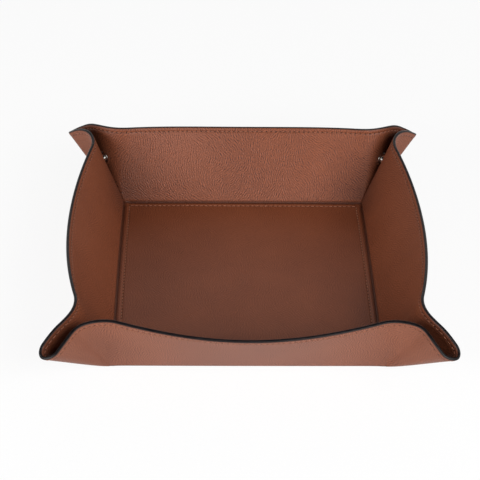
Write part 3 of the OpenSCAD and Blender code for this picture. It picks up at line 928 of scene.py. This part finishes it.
Layer = namedtuple("Layer", "label material node slot")
LAYERS = {
    "outer": Layer("outer_leather", OUTER, "skin", "outer_leather"),
    "inner": Layer("inner_leather", LINING, "lining", "lining_leather"),
}
# One run of stations on an ear, with the share of the turn at each place c
Run = namedtuple("Run", "wall c share")


def stand_in(name, parts, material, node):
    """A visible piece that is shown for a node of the frame."""
    piece = add_mesh(name, parts, material)
    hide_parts(node)
    return piece


def share_blend(piece):
    """Bakes a piece's place into its mesh and reads the share of the turn at each point, but sets up no
    bending with it.

    The rulings of an ear fan out of one point, so no straight start and end fit them all:
    the share of the turn that each point takes was worked out with the point itself.
    """
    points = np.array([v.co for v in piece.data.vertices])
    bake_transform(piece)
    share = np.zeros(len(points), np.float32)
    piece.data.attributes["turn_share"].data.foreach_get("value", share)


def make_base():
    """The two leathers of the base, each from a mitred quarter per wall, and their thread."""
    for layer, kind in LAYERS.items():
        parts = []
        for wall in WALLS.values():
            c = stations(wall, -wall.length, wall.length)[:, None]
            parts.append(shell(*layer_faces(wall, c, np.array(BASE_ROWS)[None, :], layer)))
        piece = stand_in(f"base_{kind.label}", parts, kind.material, f"base_{kind.node}")
        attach(piece, "base")
    stitches = [s for wall in WALLS.values() for s in base_stitches(wall)]
    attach(add_mesh("base_thread", stitches, BASE_THREAD), "base")


def make_fold(wall):
    """The strip that bends from the base into a wall, with the groove pressed along it."""
    c = stations(wall, -wall.length, wall.length)[:, None]
    share = ease((FOLD_ROWS + FOLD_R) / (2 * FOLD_R))
    for layer, kind in LAYERS.items():
        strip = shell(*layer_faces(wall, c, FOLD_ROWS[None, :], layer, share[None, :]))
        piece = add_mesh(f"fold_{wall.name}_{kind.label}", [strip], kind.material)
        share_blend(piece)


def make_panel(wall):
    """One panel: its two leathers, its painted edge and its stitches."""
    c = stations(wall, -wall.length, wall.length)
    t = panel_rows(c, wall, FOOT_ROWS)
    body = f"wall_{wall.name}"
    for layer, kind in LAYERS.items():
        parts = [shell(*layer_faces(wall, c[:, None], t, layer))]
        if layer == "inner" and wall.name in SIDE_WALLS:
            parts += [seam_tongue(wall, end) for end in (-1, 1)]
        piece = stand_in(f"{body}_{kind.label}", parts, kind.material, f"{wall.name}_{kind.node}")
        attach(piece, body)
    piece = stand_in(f"{body}_edge", [tube(edge_part(wall, c))], PAINT, f"{wall.name}_edge")
    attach(piece, body)
    count = round(2 * wall.length / STITCH_PITCH)
    stitches = rim_stitches(wall, -wall.length, wall.length, count)
    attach(add_mesh(f"{body}_thread", stitches, THREAD), body)


def ear_run(wall, end, low, high, share):
    """The run of one ear half whose stations lie from low to high past the corner."""
    return Run(wall, end * stations(wall, wall.length + low, wall.length + high), share)


def ear_faces(run, layer):
    """The outer and the inner face of a leather over one run of an ear."""
    rows = panel_rows(run.c, run.wall, APEX_ROWS + FOOT_ROWS)
    return layer_faces(run.wall, run.c[:, None], rows, layer, run.share(run.c)[:, None])


def ear_bead(run):
    """The painted bead over one run of an ear."""
    return edge_part(run.wall, run.c, run.share(run.c)[:, None])


def make_ear(corner):
    """One corner: the half that bends off the end wall, then the loop with the half beyond it."""
    (end_name, end_way), (side_name, side_way) = CORNERS[corner]
    end_wall, side_wall = WALLS[end_name], WALLS[side_name]
    near, far = f"ear_{corner}_{end_name}", f"ear_{corner}_side"

    def bend_share(c):
        return ease((np.abs(c) - end_wall.length) / BEND_S)

    def loop_share(c):
        past_leg = (np.abs(c) - end_wall.length - LEG_S) / (EAR_S - LEG_S)
        return ease(np.clip(past_leg, 0, 1) / 2)

    def loop_share_beyond(c):
        past_leg = (np.abs(c) - side_wall.length - LEG_S) / (EAR_S - LEG_S)
        return 1 - ease(np.clip(past_leg, 0, 1) / 2)

    leg = ear_run(end_wall, end_way, 0, LEG_S, bend_share)
    roll = ear_run(end_wall, end_way, LEG_S, EAR_S, loop_share)
    beyond = ear_run(side_wall, side_way, 0, EAR_S, loop_share_beyond)
    for layer, kind in LAYERS.items():
        piece = stand_in(f"{near}_{kind.label}", [shell(*ear_faces(leg, layer))], kind.material,
                         f"{near}_{kind.node}")
        share_blend(piece)
        both = [joined(a, turned(b)) for a, b in zip(ear_faces(roll, layer), ear_faces(beyond, layer))]
        piece = stand_in(f"{far}_{kind.label}", [shell(*both)], kind.material, f"{far}_{kind.node}")
        share_blend(piece)
    piece = stand_in(f"{near}_edge_paint", [tube(ear_bead(leg))], PAINT, f"{near}_edge")
    share_blend(piece)
    bead = joined(ear_bead(roll), turned(ear_bead(beyond)))
    piece = stand_in(f"{far}_edge_paint", [tube(bead)], PAINT, f"{far}_edge")
    share_blend(piece)
    count = round(LEG_S / EAR_PITCH)
    start, tip = end_way * end_wall.length, end_way * (end_wall.length + EAR_S)
    knee = end_way * (end_wall.length + count * EAR_PITCH)
    stitches = rim_stitches(end_wall, start, knee, count, bend_share)
    share_blend(add_mesh(f"{near}_thread", stitches, THREAD))
    stitches = rim_stitches(end_wall, knee, tip, EAR_STITCHES - count, loop_share)
    start, tip = side_way * side_wall.length, side_way * (side_wall.length + EAR_S)
    stitches += rim_stitches(side_wall, start, tip, EAR_STITCHES, loop_share_beyond)
    share_blend(add_mesh(f"{far}_thread", stitches, THREAD))


def dress_frame():
    """The press studs and the boards keep their solids and get their finish."""
    for name, node in frame["nodes"].items():
        if name.startswith(("stud", "socket")):
            node.data.materials.clear()
            node.data.materials.append(NICKEL)
        elif name.endswith("_board"):
            node.data.materials.clear()
            node.data.materials.append(BOARD)


def drop_shares():
    """Takes the shares of the turn off every mesh."""
    for piece in bpy.context.scene.objects:
        if piece.type == "MESH" and "turn_share" in piece.data.attributes:
            piece.data.attributes.remove(piece.data.attributes["turn_share"])


make_base()
for a_wall in WALLS.values():
    make_fold(a_wall)
    make_panel(a_wall)
for a_corner in CORNERS:
    make_ear(a_corner)
dress_frame()
drop_shares()


# Stage: a white floor under broad soft lamps, and the photograph's camera

# The paper lies flat and sweeps up far behind the tray: radius and height in metres
FLOOR_PROFILE = [(4.0, 0), (6.0, 0), (7.0, 0.15), (7.8, 0.7), (8.2, 1.5), (8.4, 4.0)]
FLOOR_SIDES = 64
FLOOR_GLOW = 0.9
WORLD_LEVEL = 0.02
# Each soft box's place in metres and its watts
LAMPS = {
    "left_box": ((-1.44, -1.21, 0.68), 32),
    "right_box": ((1.29, -1.08, 1.09), 22),
    "front_box": ((0.71, -1.52, 1.09), 20),
    "back_box": ((0, 1.68, 1.09), 4),
}
LAMP_SIZE = 1.0
# The camera, found by fitting the folds and edges that show in the photograph; angles in radians
PHOTO_PX = 480
FOCAL_PX = 1567.149
SENSOR_W = 36
EYE_DISTANCE = 1399.0
EYE_TILT = 0.6256
EYE_YAW = 0.0282
EYE_ROLL = -0.0201
AIM = (-3.51, 58.3, 0)
FAR_CLIP = 100


def make_floor():
    """White paper with a fine tooth, kept white to the camera and in gloss except for a soft shadow."""
    n = Nodes("floor_paper")
    spot = n.add("ShaderNodeTexCoord").outputs["Object"]
    tooth = n.noise(spot, 2.5, 2.0, 0.5)
    n.set(Base_Color=n.mix(n.span(tooth, 0.3, 0.7), colour(244, 244, 244), colour(251, 251, 251)))
    n.set(Roughness=0.9)
    path = n.add("ShaderNodeLightPath").outputs
    seen = n.math("MAXIMUM", path["Is Camera Ray"], n.math("MAXIMUM", path["Is Glossy Ray"],
                                                           path["Is Transmission Ray"]))
    glow = n.add("ShaderNodeEmission")
    blend = n.add("ShaderNodeMixShader")
    n.put(blend.inputs[0], n.math("MULTIPLY", seen, FLOOR_GLOW))
    n.put(blend.inputs[1], n.shader.outputs[0])
    n.put(blend.inputs[2], glow.outputs[0])
    n.put(n.tree.nodes["Material Output"].inputs["Surface"], blend.outputs[0])
    verts, faces = [], []
    for radius, height in FLOOR_PROFILE:
        for i in range(FLOOR_SIDES):
            angle = 2 * math.pi * i / FLOOR_SIDES
            verts.append((radius * math.cos(angle), radius * math.sin(angle), height))
    for ring in range(len(FLOOR_PROFILE) - 1):
        for i in range(FLOOR_SIDES):
            a, b = ring * FLOOR_SIDES + i, ring * FLOOR_SIDES + (i + 1) % FLOOR_SIDES
            faces.append((a, a + FLOOR_SIDES, b + FLOOR_SIDES, b))
    faces.append(tuple(range(FLOOR_SIDES)))
    mesh = bpy.data.meshes.new("floor")
    mesh.from_pydata(verts, [], faces)
    mesh.shade_smooth()
    mesh.materials.append(n.material)
    floor = bpy.data.objects.new("floor", mesh)
    bpy.context.scene.collection.objects.link(floor)


def make_lamp(name, where, watts):
    """A square soft box, turned to the tray."""
    lamp = bpy.data.lights.new(name, "AREA")
    lamp.shape = "SQUARE"
    lamp.size = LAMP_SIZE
    lamp.energy = watts
    piece = bpy.data.objects.new(name, lamp)
    piece.visible_camera = False
    piece.location = where
    aim = -piece.location
    piece.rotation_mode = "QUATERNION"
    piece.rotation_quaternion = aim.to_track_quat("-Z", "Y")
    bpy.context.scene.collection.objects.link(piece)


def make_world():
    """A faint white fill from all round."""
    world = bpy.data.worlds.new("studio")
    bpy.context.scene.world = world
    world.use_nodes = True
    back = world.node_tree.nodes["Background"]
    back.inputs["Color"].default_value = (1, 1, 1, 1)
    back.inputs["Strength"].default_value = WORLD_LEVEL


def make_camera():
    """The photograph's camera, which looks at AIM from EYE_DISTANCE away."""
    data = bpy.data.cameras.new("camera")
    data.sensor_width = SENSOR_W
    data.lens = FOCAL_PX / PHOTO_PX * SENSOR_W
    data.clip_end = FAR_CLIP
    camera = bpy.data.objects.new("camera", data)
    ahead = np.array([math.sin(EYE_YAW) * math.cos(EYE_TILT), math.cos(EYE_YAW) * math.cos(EYE_TILT),
                      -math.sin(EYE_TILT)])
    right = np.array([math.cos(EYE_YAW), -math.sin(EYE_YAW), 0])
    up = np.cross(right, ahead)
    rolled_right = math.cos(EYE_ROLL) * right - math.sin(EYE_ROLL) * up
    rolled_up = math.sin(EYE_ROLL) * right + math.cos(EYE_ROLL) * up
    axes = Matrix(np.stack([rolled_right, rolled_up, -ahead], 1).tolist()).to_4x4()
    eye = (np.array(AIM) - EYE_DISTANCE * ahead) * MM
    camera.matrix_world = Matrix.Translation(eye.tolist()) @ axes
    bpy.context.scene.collection.objects.link(camera)
    bpy.context.scene.camera = camera


make_floor()
for lamp_name, (lamp_place, lamp_watts) in LAMPS.items():
    make_lamp(lamp_name, lamp_place, lamp_watts)
make_world()
make_camera()
bpy.context.scene.view_settings.view_transform = "Standard"
